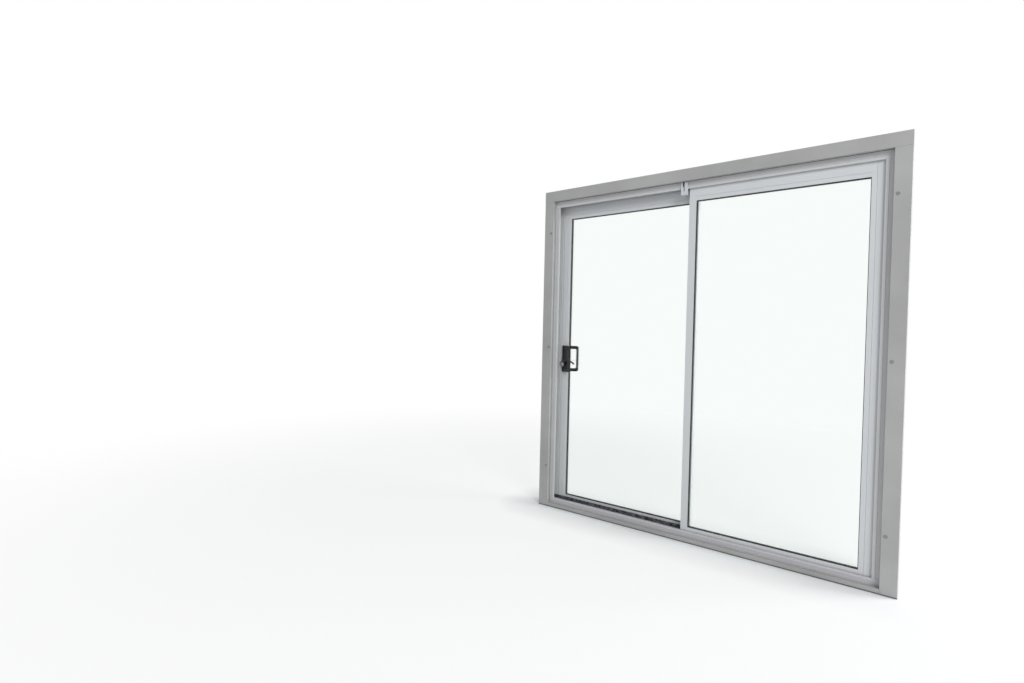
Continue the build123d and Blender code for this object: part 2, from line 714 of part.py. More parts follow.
def lock_plate(x0, thickness, height):
    """Round-ended plate on the lock's centre line."""
    outline = Pos(TRACK_Y, LEVER_Z) * SlotOverall(height, FACEPLATE_W, rotation=90)
    return Pos(x0, 0, 0) * extrude(Plane.YZ * outline, thickness)


def edge_lock():
    """Lock case inside the stile with its faceplate on the stile's edge."""
    edge = -PANEL_EDGE_X
    front = edge - FACEPLATE_T
    case = lock_box(edge, edge + LOCK_DEEP, LOCK_W, LOCK_H)
    case += lock_plate(front, FACEPLATE_T, FACEPLATE_H)
    return case - lock_slot(front, edge + LOCK_MOUTH_DEEP)


def keeper():
    """Slotted strike plate on the left jamb's web."""
    x0 = -HALF_W + SKIN_T
    return lock_plate(x0, KEEPER_T, LOCK_H) - lock_slot(x0, x0 + KEEPER_T)


def sliding_side_stile():
    """Lock stile: side stile with the lock's and the spindle's cut-outs."""
    edge = -PANEL_EDGE_X
    stile = side_stile(-1, TRACK_Y) - lock_box(edge, edge + PANEL_WALL, LOCK_W, LOCK_H)
    wall_y = STILE_IN_Y + PANEL_WALL
    return stile - cylinder_y(LEVER_X, LEVER_Z, SPINDLE_HOLE_R, STILE_IN_Y, wall_y)


# Every node of the door
save("subframe_left_jamb", timber_jamb(-1))
save("subframe_right_jamb", timber_jamb(1))
save("subframe_head", timber_head())
save("threshold_strip", threshold_strip())
save("frame_head", frame_head())
save("head_fins", head_fins())
save("frame_sill", frame_sill())
save("sill_upstands", sill_upstands())
save("frame_left_jamb", lock_jamb())
save("left_jamb_fins", jamb_fins(-1))
save("frame_right_jamb", jamb(1))
save("right_jamb_fins", jamb_fins(1))
save("head_pile_seals", head_piles())
save("sill_pile_seals", sill_piles())
save("left_jamb_pile_seals", jamb_piles(-1))
save("right_jamb_pile_seals", jamb_piles(1))
save("head_end_block", head_end_block())
save("keeper", keeper())

save("fixed_meeting_stile", fixed_meeting_stile())
save("fixed_interlock", fixed_interlock())
save("fixed_side_stile", side_stile(1, -TRACK_Y))
save("fixed_top_rail", top_rail(1, -TRACK_Y))
save("fixed_bottom_rail", bottom_rail(1, -TRACK_Y))
save("fixed_panel_blocks", fixed_panel_blocks())
save("fixed_panel_packers", fixed_panel_packers())

save("sliding_meeting_stile", sliding_meeting_stile())
save("sliding_interlock", sliding_interlock())
save("sliding_side_stile", sliding_side_stile())
save("sliding_top_rail", top_rail(-1, TRACK_Y))
save("sliding_bottom_rail", bottom_rail(-1, TRACK_Y))
save("roller_carriages", roller_carriages())
save("roller_wheels", roller_wheels())
save("anti_lift_blocks", anti_lift_blocks())
save("inside_handle", inside_handle())
save("outside_handle", outside_handle())
save("latch_lever", latch_lever())
save("edge_lock", edge_lock())

for label, direction, plane_y in (("fixed", 1, -TRACK_Y), ("sliding", -1, TRACK_Y)):
    save(f"{label}_inner_pane", pane(direction, plane_y, -1))
    save(f"{label}_outer_pane", pane(direction, plane_y, 1))
    save(f"{label}_spacer", spacer(direction, plane_y))
    save(f"{label}_gasket", gasket(direction, plane_y))
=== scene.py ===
import math
import bmesh
import bpy
from mathutils import Matrix, Vector


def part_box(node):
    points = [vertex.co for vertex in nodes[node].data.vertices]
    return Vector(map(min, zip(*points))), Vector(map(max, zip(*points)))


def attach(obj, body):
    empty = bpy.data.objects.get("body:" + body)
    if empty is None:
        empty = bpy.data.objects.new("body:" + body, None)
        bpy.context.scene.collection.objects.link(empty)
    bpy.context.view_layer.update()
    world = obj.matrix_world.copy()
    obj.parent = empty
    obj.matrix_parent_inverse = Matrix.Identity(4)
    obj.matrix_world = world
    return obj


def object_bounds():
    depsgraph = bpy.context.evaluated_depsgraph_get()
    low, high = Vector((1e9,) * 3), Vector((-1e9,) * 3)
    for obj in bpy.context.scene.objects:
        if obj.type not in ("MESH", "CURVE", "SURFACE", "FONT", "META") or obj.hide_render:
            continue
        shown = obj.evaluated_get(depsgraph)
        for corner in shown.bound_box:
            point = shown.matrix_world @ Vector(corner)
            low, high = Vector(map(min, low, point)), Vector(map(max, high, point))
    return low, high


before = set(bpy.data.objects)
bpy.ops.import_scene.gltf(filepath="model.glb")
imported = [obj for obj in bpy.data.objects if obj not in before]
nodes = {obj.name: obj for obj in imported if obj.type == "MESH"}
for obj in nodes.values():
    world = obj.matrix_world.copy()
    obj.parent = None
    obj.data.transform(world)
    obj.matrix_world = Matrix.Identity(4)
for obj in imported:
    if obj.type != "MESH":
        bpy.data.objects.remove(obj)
cad_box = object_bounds()

# Timber sub-frame: two posts, a head and a threshold strip of planed softwood. They are screwed
# into the doorway and brushed with satin paint after fitting, so the strokes run along each
# piece. The arrises are a little rounded and paler, partly from wear, partly as a painted highlight.


def linear(hex_code):
    """An sRGB hex colour as linear red, green, blue and alpha."""
    channels = [int(hex_code[i:i + 2], 16) / 255 for i in (1, 3, 5)]
    return [c / 12.92 if c <= 0.04045 else ((c + 0.055) / 1.055) ** 2.4 for c in channels] + [1.0]


def per_metre(millimetres):
    """How often a pattern of this size repeats in a metre."""
    return 1000.0 / millimetres


def add(tree, kind, inputs=None, **settings):
    """Adds a node; each input is a value, or another node's output to link."""
    node = tree.nodes.new(kind)
    for name, value in settings.items():
        setattr(node, name, value)
    for key, value in (inputs or {}).items():
        if isinstance(value, bpy.types.NodeSocket):
            tree.links.new(value, node.inputs[key])
        else:
            node.inputs[key].default_value = value
    return node


def new_finish(name):
    """An empty material and its node tree."""
    material = bpy.data.materials.new(name)
    material.use_nodes = True
    material.node_tree.nodes.clear()
    return material, material.node_tree


def dress(material, *names):
    """Gives CAD nodes their finish."""
    for name in names:
        for place in nodes[name].material_slots:
            place.material = material


timber_head_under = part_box("subframe_head")[0][2]
post_inner_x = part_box("subframe_right_jamb")[0][0]
aluminium_face_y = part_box("frame_head")[0][1]

# Painted shade darkens the foot of the paint up to one height and is gone at the next.
FOOT_SHADE_FULL_Z, FOOT_SHADE_GONE_Z = 0.005, 0.0085
# Painted shade also darkens the groove over the aluminium, and the rear of the timber head's
# underside.
GROOVE_FROM_Z, GROOVE_TO_Z = timber_head_under - 0.001, timber_head_under + 0.010
GROOVE_FADE_Y, GROOVE_FULL_Y = aluminium_face_y - 0.0135, aluminium_face_y - 0.005
GROOVE_BACK_Y = aluminium_face_y + 0.0035
GROOVE_HALF_LENGTH = post_inner_x + 0.015


def satin_paint(name, stroke_scale):
    """Satin paint brushed on softwood: strokes along the grain, arrises paler from wear and painted
    highlight.

    The lowest few millimetres are darkened with painted shade. So is the groove that runs
    over the aluminium head, and the rear of the head's underside.
    """
    material, tree = new_finish(name)
    where = add(tree, "ShaderNodeTexCoord")
    strokes = add(tree, "ShaderNodeMapping", {0: where.outputs["Object"], "Scale": stroke_scale})
    bristles = add(tree, "ShaderNodeTexNoise", {0: strokes.outputs[0], "Scale": 1.0, "Detail": 5.0})
    clouds = add(
        tree, "ShaderNodeTexNoise",
        {0: where.outputs["Object"], "Scale": per_metre(280), "Detail": 3.0})
    # Painted shade: the paint is white, greyed down to these tones as if it stood in shade.
    tone = add(tree, "ShaderNodeValToRGB", {0: clouds.outputs[0]})
    tone.color_ramp.elements[0].position = 0.35
    tone.color_ramp.elements[0].color = linear("#a0a09f")
    tone.color_ramp.elements[1].position = 0.68
    tone.color_ramp.elements[1].color = linear("#ababaa")
    soft = add(tree, "ShaderNodeBevel", {"Radius": 0.0012}, samples=4)
    shape = add(tree, "ShaderNodeNewGeometry")
    turn = add(
        tree, "ShaderNodeVectorMath", {0: soft.outputs[0], 1: shape.outputs["True Normal"]},
        operation="DOT_PRODUCT")
    # Partly wear, partly painted highlight: the arrises are mixed towards a pale tone.
    arris = add(
        tree, "ShaderNodeMapRange",
        {0: turn.outputs["Value"], "From Min": 0.99, "From Max": 0.80, "To Min": 0.0, "To Max": 0.45})
    paint = add(
        tree, "ShaderNodeMix", {0: arris.outputs[0], 6: tone.outputs[0], 7: linear("#d6d3cc")},
        data_type="RGBA")
    place = add(tree, "ShaderNodeSeparateXYZ", {0: where.outputs["Object"]})
    # Painted shade: the lowest few millimetres of the paint are darkened, where shade falls at the
    # foot.
    darkening = add(
        tree, "ShaderNodeMapRange",
        {0: place.outputs["Z"], "From Min": FOOT_SHADE_FULL_Z, "From Max": FOOT_SHADE_GONE_Z,
         "To Min": 0.85, "To Max": 0.0})
    # Painted shade in the groove under the timber head, over the aluminium.
    groove = add(
        tree, "ShaderNodeMapRange",
        {0: place.outputs["Y"], "From Min": GROOVE_FADE_Y, "From Max": GROOVE_FULL_Y,
         "To Min": 0.0, "To Max": 1.0})
    over_head = add(
        tree, "ShaderNodeMath",
        {0: place.outputs["Z"], 1: (GROOVE_FROM_Z + GROOVE_TO_Z) / 2,
         2: (GROOVE_TO_Z - GROOVE_FROM_Z) / 2}, operation="COMPARE")
    indoor_side = add(
        tree, "ShaderNodeMath", {0: place.outputs["Y"], 1: GROOVE_BACK_Y}, operation="LESS_THAN")
    from_middle = add(tree, "ShaderNodeMath", {0: place.outputs["X"]}, operation="ABSOLUTE")
    between_posts = add(
        tree, "ShaderNodeMath", {0: from_middle.outputs[0], 1: GROOVE_HALF_LENGTH},
        operation="LESS_THAN")
    for limit in (over_head, indoor_side, between_posts):
        groove = add(
            tree, "ShaderNodeMath", {0: groove.outputs[0], 1: limit.outputs[0]}, operation="MULTIPLY")
    # Painted shade: dark grey at the foot and in the groove under the timber head.
    painted_shade = add(
        tree, "ShaderNodeMath", {0: darkening.outputs[0], 1: groove.outputs[0]}, operation="MAXIMUM")
    shaded_paint = add(
        tree, "ShaderNodeMix", {0: painted_shade.outputs[0], 6: paint.outputs[2], 7: linear("#4d5052")},
        data_type="RGBA")
    sheen = add(
        tree, "ShaderNodeMapRange",
        {0: bristles.outputs[0], "From Min": 0.3, "From Max": 0.7, "To Min": 0.36, "To Max": 0.5})
    relief = add(
        tree, "ShaderNodeBump",
        {"Strength": 0.22, "Distance": 0.0004, "Height": bristles.outputs[0],
         "Normal": soft.outputs[0]})
    shader = add(
        tree, "ShaderNodeBsdfPrincipled",
        {"Base Color": shaded_paint.outputs[2], "Roughness": sheen.outputs[0], "Normal": relief.outputs[0],
         "IOR": 1.5})
    add(tree, "ShaderNodeOutputMaterial", {0: shader.outputs[0]})
    return material


# Bristle marks are about 1.5 mm apart and 150 mm long, and lie along each piece.
ACROSS, ALONG = per_metre(1.5), per_metre(150)
paint_upright = satin_paint("satin_paint_on_softwood_upright", (ACROSS, ACROSS, ALONG))
paint_level = satin_paint("satin_paint_on_softwood_level", (ALONG, ACROSS, ACROSS))
dress(paint_upright, "subframe_left_jamb", "subframe_right_jamb")
dress(paint_level, "subframe_head", "threshold_strip")


# Joint under the threshold strip: a bead of dark grey silicone in the bevel of its foot. It was
# smoothed along by a finger, so its face is a little hollow and has slow ripples. Its dark grey
# also stands in for the shadow along the foot, as painted shade: a thin dark line with a soft shine.
FOOT_BEVEL = 0.003
strip_low, strip_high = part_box("threshold_strip")
sealant, tree = new_finish("dark_grey_silicone_sealant")
where = add(tree, "ShaderNodeTexCoord")
ripple = add(
    tree, "ShaderNodeTexNoise",
    {0: where.outputs["Object"], "Scale": per_metre(25), "Detail": 3.0})
# In part painted shade: the bead's dark grey stands in for the shadow at the strip's foot.
tone = add(tree, "ShaderNodeValToRGB", {0: ripple.outputs[0]})
tone.color_ramp.elements[0].position = 0.3
tone.color_ramp.elements[0].color = linear("#3f4244")
tone.color_ramp.elements[1].position = 0.75
tone.color_ramp.elements[1].color = linear("#595c5d")
relief = add(
    tree, "ShaderNodeBump", {"Strength": 0.3, "Distance": 0.0005, "Height": ripple.outputs[0]})
shader = add(
    tree, "ShaderNodeBsdfPrincipled",
    {"Base Color": tone.outputs[0], "Roughness": 0.45, "Normal": relief.outputs[0], "IOR": 1.43})
add(tree, "ShaderNodeOutputMaterial", {0: shader.outputs[0]})
strip_face_y = strip_low[1]
# The bead's outline by depth and height: its flat foot from back to front, then its hollow face.
bead_outline = [
    (strip_face_y + FOOT_BEVEL, 0.0), (strip_face_y + 0.0017, 0.0), (strip_face_y + 0.0011, 0.0016),
    (strip_face_y + 0.0001, FOOT_BEVEL)]
bead_mesh = bpy.data.meshes.new("threshold_sealant")
bead_shape = bmesh.new()
left_end = [bead_shape.verts.new((strip_low[0], y, z)) for y, z in bead_outline]
right_end = [bead_shape.verts.new((strip_high[0], y, z)) for y, z in bead_outline]
bead_shape.faces.new(left_end)
bead_shape.faces.new(right_end)
for i in range(len(bead_outline)):
    j = (i + 1) % len(bead_outline)
    bead_shape.faces.new((left_end[i], left_end[j], right_end[j], right_end[i]))
bmesh.ops.recalc_face_normals(bead_shape, faces=bead_shape.faces)
bead_shape.to_mesh(bead_mesh)
bead_shape.free()
bead_mesh.materials.append(sealant)
bead = bpy.data.objects.new("threshold_sealant", bead_mesh)
bpy.context.scene.collection.objects.link(bead)
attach(bead, "frame")


# Filled heads of the screws that hold the timber: a thin round smear of grey filler on the
# post's indoor face, rubbed down to a soft edge and left without paint, so it reads as a dull
# spot a little darker than the paint.
def turned(name, profile, place, axis, steps=32):
    """A solid of revolution from (radius, height) points, set at its place along the axis."""
    mesh = bpy.data.meshes.new(name)
    shape = bmesh.new()
    rings = []
    for radius, height in profile:
        if radius == 0:
            rings.append([shape.verts.new((0, 0, height))])
            continue
        rings.append([
            shape.verts.new((
                radius * math.cos(2 * math.pi * i / steps), radius * math.sin(2 * math.pi * i / steps),
                height)) for i in range(steps)])
    for low, high in zip(rings, rings[1:]):
        for i in range(steps):
            j = (i + 1) % steps
            if len(low) == 1:
                shape.faces.new((low[0], high[i], high[j]))
            elif len(high) == 1:
                shape.faces.new((low[i], low[j], high[0]))
            else:
                shape.faces.new((low[i], low[j], high[j], high[i]))
    bmesh.ops.recalc_face_normals(shape, faces=shape.faces)
    turn = Vector((0, 0, 1)).rotation_difference(Vector(axis)).to_matrix().to_4x4()
    bmesh.ops.transform(shape, matrix=Matrix.Translation(place) @ turn, verts=shape.verts)
    for face in shape.faces:
        face.smooth = True
    shape.to_mesh(mesh)
    shape.free()
    piece = bpy.data.objects.new(name, mesh)
    bpy.context.scene.collection.objects.link(piece)
    return piece


filler, tree = new_finish("grey_filler_rubbed_down")
where = add(tree, "ShaderNodeTexCoord")
rubbed = add(
    tree, "ShaderNodeTexNoise",
    {0: where.outputs["Object"], "Scale": per_metre(6), "Detail": 3.0})
tone = add(tree, "ShaderNodeValToRGB", {0: rubbed.outputs[0]})
tone.color_ramp.elements[0].position = 0.3
tone.color_ramp.elements[0].color = linear("#7a7b76")
tone.color_ramp.elements[1].position = 0.72
tone.color_ramp.elements[1].color = linear("#94958f")
relief = add(
    tree, "ShaderNodeBump", {"Strength": 0.2, "Distance": 0.0003, "Height": rubbed.outputs[0]})
shader = add(
    tree, "ShaderNodeBsdfPrincipled",
    {"Base Color": tone.outputs[0], "Roughness": 0.75, "Normal": relief.outputs[0], "IOR": 1.45})
add(tree, "ShaderNodeOutputMaterial", {0: shader.outputs[0]})
DAB_HEIGHTS = (0.28, 1.10, 1.88)
DAB_FROM_POST_EDGE = 0.0175
# Radius and height above the timber, from the middle out: the dab stands 0.3 mm proud.
DAB_PROFILE = [(0, 0.0003), (0.0075, 0.0003), (0.0092, 0.0001), (0.0094, -0.0008)]
post_face_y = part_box("subframe_left_jamb")[0][1]
for index, height in enumerate(DAB_HEIGHTS):
    for side, side_name in ((-1, "left"), (1, "right")):
        dab = turned(
            f"filled_screw_{index}_{side_name}", DAB_PROFILE,
            (side * (post_inner_x + DAB_FROM_POST_EDGE), post_face_y, height), (0, -1, 0))
        dab.data.materials.append(filler)
        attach(dab, "frame")


# Aluminium frame and panels: extrusions cut square, powder-coated white and screwed at the
# corners. The coat leaves a fine orange peel and softly rounded edges, and its satin gloss picks
# up long pale reflections. The sill gathers a film of dust in its channels.
def powder_coat(name, tint, worn, dust):
    """White powder coat, clouded from tint to worn; dust is the grey film on faces that look up."""
    material, tree = new_finish(name)
    where = add(tree, "ShaderNodeTexCoord")
    peel = add(
        tree, "ShaderNodeTexNoise",
        {0: where.outputs["Object"], "Scale": per_metre(2.4), "Detail": 2.0})
    batch = add(
        tree, "ShaderNodeTexNoise",
        {0: where.outputs["Object"], "Scale": per_metre(450), "Detail": 2.0})
    soft = add(tree, "ShaderNodeBevel", {"Radius": 0.0009}, samples=4)
    coat = add(
        tree, "ShaderNodeMix",
        {0: batch.outputs[0], 6: linear(tint), 7: linear(worn)}, data_type="RGBA")
    shape = add(tree, "ShaderNodeNewGeometry")
    up = add(tree, "ShaderNodeSeparateXYZ", {0: shape.outputs["True Normal"]})
    darkening = add(
        tree, "ShaderNodeTexNoise",
        {0: where.outputs["Object"], "Scale": per_metre(40), "Detail": 6.0})
    film = add(
        tree, "ShaderNodeMapRange",
        {0: darkening.outputs[0], "From Min": 0.38, "From Max": 0.72, "To Min": 0.0, "To Max": dust})
    lying = add(
        tree, "ShaderNodeMath", {0: film.outputs[0], 1: up.outputs[2]}, operation="MULTIPLY",
        use_clamp=True)
    dusty = add(
        tree, "ShaderNodeMix", {0: lying.outputs[0], 6: coat.outputs[2], 7: linear("#8f8b84")},
        data_type="RGBA")
    gloss = add(
        tree, "ShaderNodeMapRange",
        {0: lying.outputs[0], "From Max": 1.0, "To Min": 0.34, "To Max": 0.8})
    relief = add(
        tree, "ShaderNodeBump",
        {"Strength": 0.06, "Distance": 0.0003, "Height": peel.outputs[0], "Normal": soft.outputs[0]})
    shader = add(
        tree, "ShaderNodeBsdfPrincipled",
        {"Base Color": dusty.outputs[2], "Roughness": gloss.outputs[0], "Normal": relief.outputs[0],
         "IOR": 1.52})
    add(tree, "ShaderNodeOutputMaterial", {0: shader.outputs[0]})
    return material


LITTLE_DUST, MUCH_DUST = 0.10, 0.75
# Painted shade, in part: the white coats are greyed down, and the frame's and the sill's are darker
# than the panels'.
shaded_coat_on_frame = powder_coat("white_powder_coat_on_frame", "#c1c2c3", "#c7c8c9", LITTLE_DUST)
coat_on_panels = powder_coat("white_powder_coat_on_panels", "#cacccf", "#d1d3d5", LITTLE_DUST)
shaded_coat_on_sill = powder_coat("white_powder_coat_on_sill", "#c1c0c4", "#c9c8cc", MUCH_DUST)
dress(shaded_coat_on_frame, "frame_head", "head_fins", "frame_left_jamb", "left_jamb_fins",
      "frame_right_jamb", "right_jamb_fins")
dress(coat_on_panels, "fixed_meeting_stile", "fixed_interlock", "fixed_side_stile",
      "fixed_top_rail", "fixed_bottom_rail", "sliding_meeting_stile", "sliding_interlock",
      "sliding_side_stile", "sliding_top_rail", "sliding_bottom_rail")
dress(shaded_coat_on_sill, "frame_sill", "sill_upstands")

# Frame fixings: pan-head screws through the aluminium's webs into the timber, four to each jamb
# and four in the head. They are steel, zinc-plated to a cloudy pale grey, and driven home in
# their channels, each with a cross recess in a low domed head.
zinc_plate, tree = new_finish("zinc_plated_steel")
where = add(tree, "ShaderNodeTexCoord")
bloom = add(
    tree, "ShaderNodeTexNoise",
    {0: where.outputs["Object"], "Scale": per_metre(8), "Detail": 4.0})
tone = add(tree, "ShaderNodeValToRGB", {0: bloom.outputs[0]})
tone.color_ramp.elements[0].position = 0.3
tone.color_ramp.elements[0].color = linear("#9a9c9d")
tone.color_ramp.elements[1].position = 0.7
tone.color_ramp.elements[1].color = linear("#bfc1c3")
haze = add(
    tree, "ShaderNodeMapRange",
    {0: bloom.outputs[0], "From Min": 0.3, "From Max": 0.7, "To Min": 0.45, "To Max": 0.28})
soft = add(tree, "ShaderNodeBevel", {"Radius": 0.0004}, samples=4)
shader = add(
    tree, "ShaderNodeBsdfPrincipled",
    {"Base Color": tone.outputs[0], "Metallic": 1.0, "Roughness": haze.outputs[0],
     "Normal": soft.outputs[0]})
add(tree, "ShaderNodeOutputMaterial", {0: shader.outputs[0]})


def screw(name, place, axis, head_size, body, finish):
    """A low domed screw head with a cross recess, set at its place along the axis.

    The head's size is its radius and height. The recess's two slots are a quarter of the radius
    wide, and end well inside the rim.
    """
    radius, height = head_size
    slot_width, slot_length, slot_height = radius * 0.24, radius * 1.25, height * 1.2
    dome = [(radius, 0.0), (radius * 0.97, height * 0.45), (radius * 0.75, height * 0.85),
            (radius * 0.4, height * 0.97), (0, height)]
    head = turned(name, [(0, -0.0004), (radius, -0.0004)] + dome, (0, 0, 0), (0, 0, 1), 24)
    cross = bmesh.new()
    for long_way in (0, 1):
        size = [slot_width, slot_width, slot_height]
        size[long_way] = slot_length
        bmesh.ops.create_cube(
            cross, size=1.0,
            matrix=Matrix.Translation((0, 0, height * 0.95)) @ Matrix.Diagonal((*size, 1.0)))
    cutter_mesh = bpy.data.meshes.new(name + "_recess")
    cross.to_mesh(cutter_mesh)
    cross.free()
    cutter = bpy.data.objects.new(name + "_recess", cutter_mesh)
    bpy.context.scene.collection.objects.link(cutter)
    cut = head.modifiers.new("recess", "BOOLEAN")
    cut.operation = "DIFFERENCE"
    cut.object = cutter
    cut.solver = "EXACT"
    cut.use_self = True
    drawn = head.evaluated_get(bpy.context.evaluated_depsgraph_get())
    cut_mesh = bpy.data.meshes.new_from_object(drawn)
    head.modifiers.clear()
    turn = Vector((0, 0, 1)).rotation_difference(Vector(axis)).to_matrix().to_4x4()
    cut_mesh.transform(Matrix.Translation(place) @ turn)
    head.data = cut_mesh
    bpy.data.objects.remove(cutter)
    head.data.materials.clear()
    head.data.materials.append(finish)
    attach(head, body)


PAN_HEAD = (0.0045, 0.0022)
JAMB_SCREW_HEIGHTS = (0.25, 0.72, 1.48, 1.92)
HEAD_SCREW_PLACES = (-0.7, -0.25, 0.25, 0.7)
# The sliding panel's track is outdoors of the middle fins and the fixed one's is indoors. Each
# screw is in the track that its end of the door leaves empty.
OUTER_TRACK_Y, INNER_TRACK_Y = 0.025, -0.025
jamb_web_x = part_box("frame_right_jamb")[0][0]
for index, height in enumerate(JAMB_SCREW_HEIGHTS):
    screw(f"left_jamb_screw_{index}", (-jamb_web_x, INNER_TRACK_Y, height), (1, 0, 0), PAN_HEAD,
          "frame", zinc_plate)
    screw(f"right_jamb_screw_{index}", (jamb_web_x, OUTER_TRACK_Y, height), (-1, 0, 0), PAN_HEAD,
          "frame", zinc_plate)
head_web_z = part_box("frame_head")[0][2]
for index, x in enumerate(HEAD_SCREW_PLACES):
    track_y = INNER_TRACK_Y if x < 0 else OUTER_TRACK_Y
    screw(f"head_screw_{index}", (x, track_y, head_web_z), (0, 0, -1), PAN_HEAD,
          "frame", zinc_plate)


# Brush seals: strips of grey woven pile, slid into grooves in the frame's fins to stop draughts
# where the panels run past. The polypropylene fibres stand up in tufts and clumps, have no
# gloss, and read as a soft dark line.
CLUMP_SHARE = 0.65


def woven_pile(name, row_scale):
    """Dark grey pile, its tufts at a spacing of their own along the strip, in 16 mm clumps."""
    material, tree = new_finish(name)
    where = add(tree, "ShaderNodeTexCoord")
    rows = add(tree, "ShaderNodeMapping", {0: where.outputs["Object"], "Scale": row_scale})
    tufts = add(tree, "ShaderNodeTexNoise", {0: rows.outputs[0], "Scale": 1.0, "Detail": 3.0})
    clumps = add(
        tree, "ShaderNodeTexNoise",
        {0: where.outputs["Object"], "Scale": per_metre(16), "Detail": 1.0})
    both = add(
        tree, "ShaderNodeMix", {0: CLUMP_SHARE, 2: tufts.outputs[0], 3: clumps.outputs[0]},
        data_type="FLOAT")
    shade = add(tree, "ShaderNodeValToRGB", {0: both.outputs[0]})
    shade.color_ramp.elements[0].position = 0.42
    shade.color_ramp.elements[0].color = linear("#1d2026")
    shade.color_ramp.elements[1].position = 0.64
    shade.color_ramp.elements[1].color = linear("#6a6d73")
    relief = add(
        tree, "ShaderNodeBump", {"Strength": 0.9, "Distance": 0.0008, "Height": tufts.outputs[0]})
    shader = add(
        tree, "ShaderNodeBsdfPrincipled",
        {"Base Color": shade.outputs[0], "Roughness": 0.95, "Normal": relief.outputs[0],
         "Sheen Weight": 0.3, "IOR": 1.49})
    add(tree, "ShaderNodeOutputMaterial", {0: shader.outputs[0]})
    return material


# Tufts are about 1.2 mm apart along the strip and 8 mm long.
TUFT_GAP, TUFT_LENGTH = per_metre(1.2), per_metre(8)
pile_upright = woven_pile("polypropylene_pile_upright", (TUFT_LENGTH, TUFT_LENGTH, TUFT_GAP))
pile_level = woven_pile("polypropylene_pile_level", (TUFT_GAP, TUFT_LENGTH, TUFT_LENGTH))
dress(pile_upright, "left_jamb_pile_seals", "right_jamb_pile_seals")
dress(pile_level, "sill_pile_seals", "head_pile_seals")

# Glazing: sealed units of two 4 mm clear float sheets, held by rubber in the panels' channels.
# Float glass is almost colourless face on, shows a green edge, and has faint smears about
# 250 mm across from cleaning.
float_glass, tree = new_finish("clear_float_glass")
where = add(tree, "ShaderNodeTexCoord")
shape = add(tree, "ShaderNodeNewGeometry")
facing = add(tree, "ShaderNodeSeparateXYZ", {0: shape.outputs["True Normal"]})
flat_on = add(tree, "ShaderNodeMath", {0: facing.outputs[1]}, operation="ABSOLUTE")
tint = add(
    tree, "ShaderNodeMix",
    {0: flat_on.outputs[0], 6: linear("#7fb39b"), 7: linear("#fbfdfc")}, data_type="RGBA")
smears = add(
    tree, "ShaderNodeTexNoise",
    {0: where.outputs["Object"], "Scale": per_metre(250), "Detail": 6.0, "Distortion": 1.2})
cloud = add(
    tree, "ShaderNodeMapRange",
    {0: smears.outputs[0], "From Min": 0.55, "From Max": 0.8, "To Min": 0.0, "To Max": 0.02})
clear = add(
    tree, "ShaderNodeBsdfPrincipled",
    {"Base Color": tint.outputs[2], "Roughness": cloud.outputs[0], "IOR": 1.52,
     "Transmission Weight": 1.0})
lamp_light = add(tree, "ShaderNodeBsdfTransparent", {0: linear("#f3f7f5")})
ray = add(tree, "ShaderNodeLightPath")
through = add(
    tree, "ShaderNodeMixShader",
    {0: ray.outputs["Is Shadow Ray"], 1: clear.outputs[0], 2: lamp_light.outputs[0]})
add(tree, "ShaderNodeOutputMaterial", {0: through.outputs[0]})
dress(float_glass, "fixed_inner_pane", "fixed_outer_pane", "sliding_inner_pane",
      "sliding_outer_pane")

# Spacer bar between the sheets: rolled aluminium, bent at the corners, with breather holes for
# the drying agent inside it. The holes are about 1.5 mm across on a 6 mm pitch and read as dark
# dots on a dull metal.
spacer_bar, tree = new_finish("rolled_aluminium_spacer")
where = add(tree, "ShaderNodeTexCoord")
spots = add(
    tree, "ShaderNodeTexVoronoi",
    {0: where.outputs["Object"], "Scale": per_metre(6), "Randomness": 0.0})
holes = add(
    tree, "ShaderNodeMapRange",
    {0: spots.outputs["Distance"], "From Min": 0.10, "From Max": 0.16, "To Min": 1.0, "To Max": 0.0})
metal = add(
    tree, "ShaderNodeMix", {0: holes.outputs[0], 6: linear("#b9bcc0"), 7: linear("#2f3133")},
    data_type="RGBA")
shader = add(
    tree, "ShaderNodeBsdfPrincipled",
    {"Base Color": metal.outputs[2], "Metallic": 1.0, "Roughness": 0.38})
add(tree, "ShaderNodeOutputMaterial", {0: shader.outputs[0]})
dress(spacer_bar, "fixed_spacer", "sliding_spacer")

# Wrap-round gasket: extruded black rubber, pressed between the panel's channel and both faces
# of its sealed unit. It is matt and greyed here and there by dust, so it reads as a dark line
# round each pane and not as a pure black one.
rubber, tree = new_finish("extruded_black_rubber")
where = add(tree, "ShaderNodeTexCoord")
bloom = add(
    tree, "ShaderNodeTexNoise",
    {0: where.outputs["Object"], "Scale": per_metre(16), "Detail": 5.0})
tone = add(tree, "ShaderNodeValToRGB", {0: bloom.outputs[0]})
tone.color_ramp.elements[0].position = 0.35
tone.color_ramp.elements[0].color = linear("#232527")
tone.color_ramp.elements[1].position = 0.75
tone.color_ramp.elements[1].color = linear("#3c3f42")
soft = add(tree, "ShaderNodeBevel", {"Radius": 0.0006}, samples=4)
relief = add(
    tree, "ShaderNodeBump",
    {"Strength": 0.15, "Distance": 0.0003, "Height": bloom.outputs[0], "Normal": soft.outputs[0]})
shader = add(
    tree, "ShaderNodeBsdfPrincipled",
    {"Base Color": tone.outputs[0], "Roughness": 0.62, "Normal": relief.outputs[0], "IOR": 1.52})
add(tree, "ShaderNodeOutputMaterial", {0: shader.outputs[0]})
dress(rubber, "fixed_gasket", "sliding_gasket")


